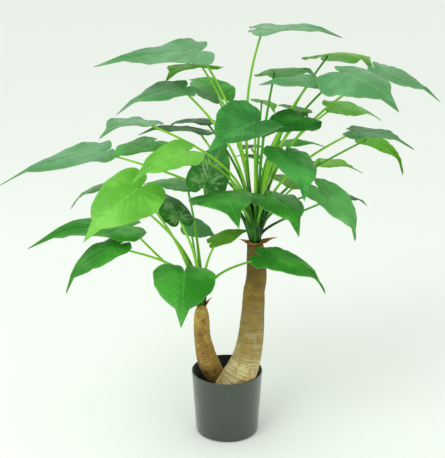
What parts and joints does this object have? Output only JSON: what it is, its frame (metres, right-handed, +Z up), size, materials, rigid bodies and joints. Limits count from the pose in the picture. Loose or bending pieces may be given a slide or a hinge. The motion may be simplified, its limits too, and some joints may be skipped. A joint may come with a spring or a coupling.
{
  "type": "potted alocasia plant",
  "caption": "Potted alocasia with a tall and a short ringed stem that bend apart, each topped by a spray of long-stalked heart-shaped leaves, in a plain dark round nursery pot.",
  "frame": {"origin": "middle of the pot's flat underside, on the pot's axis", "axes": "+Z up along the pot's axis, -Y towards the side seen in the picture, +X to the right of that view, the side that the tall stem bends to"},
  "size_m": [0.8693, 0.5161, 0.8596],
  "materials": {
    "pot_plastic": "satin dark grey-green moulded plastic",
    "dark_soil": "dark damp potting soil, crumbly and matt",
    "bark_tall": "matt khaki to brown stem skin with fine rings",
    "bark_short": "matt orange-brown stem skin with rings and darker patches",
    "dry_husk": "matt dry red-brown leaf bases",
    "stalk_green": "smooth lime green leaf stalk",
    "leaf_pale": "grey-green leaf with a soft sheen",
    "leaf_mid": "full green leaf with a soft sheen",
    "leaf_bright": "yellow-green leaf with a soft sheen",
    "leaf_dark": "dark green leaf with a soft sheen",
    "leaf_olive": "leaf that shows its yellow-olive underside"
  },
  "bodies": {
    "root": {"pot": "pot_plastic", "soil": "dark_soil", "trunk_tall": "bark_tall", "trunk_short": "bark_short", "husk_tall": "dry_husk", "husk_short": "dry_husk", "stalks_tall": "stalk_green", "stalks_short": "stalk_green", "leaf_tall_01": "leaf_pale", "leaf_tall_02": "leaf_pale", "leaf_tall_03": "leaf_olive", "leaf_tall_04": "leaf_pale", "leaf_tall_05": "leaf_mid", "leaf_tall_06": "leaf_pale", "leaf_tall_07": "leaf_dark", "leaf_tall_08": "leaf_mid", "leaf_tall_09": "leaf_mid", "leaf_tall_10": "leaf_bright", "leaf_short_01": "leaf_bright", "leaf_tall_11": "leaf_pale", "leaf_short_02": "leaf_mid", "leaf_short_03": "leaf_mid", "leaf_tall_12": "leaf_dark", "leaf_tall_13": "leaf_mid", "leaf_tall_14": "leaf_mid", "leaf_tall_15": "leaf_olive", "leaf_tall_16": "leaf_mid", "leaf_tall_17": "leaf_pale", "leaf_tall_18": "leaf_dark", "leaf_tall_19": "leaf_bright", "leaf_tall_20": "leaf_mid", "leaf_tall_21": "leaf_pale", "leaf_tall_22": "leaf_olive", "leaf_tall_23": "leaf_bright", "leaf_tall_24": "leaf_pale", "leaf_tall_25": "leaf_pale", "leaf_tall_26": "leaf_pale", "leaf_tall_27": "leaf_pale", "leaf_tall_28": "leaf_pale", "leaf_tall_29": "leaf_olive", "leaf_tall_30": "leaf_dark", "leaf_tall_31": "leaf_dark", "leaf_tall_32": "leaf_dark", "leaf_tall_33": "leaf_mid", "leaf_short_04": "leaf_dark", "leaf_short_05": "leaf_pale", "leaf_short_06": "leaf_mid", "leaf_short_07": "leaf_mid", "leaf_short_08": "leaf_mid", "leaf_short_09": "leaf_mid", "leaf_short_10": "leaf_mid", "leaf_tall_34": "leaf_dark", "leaf_tall_35": "leaf_dark"}
  },
  "joints": []
}
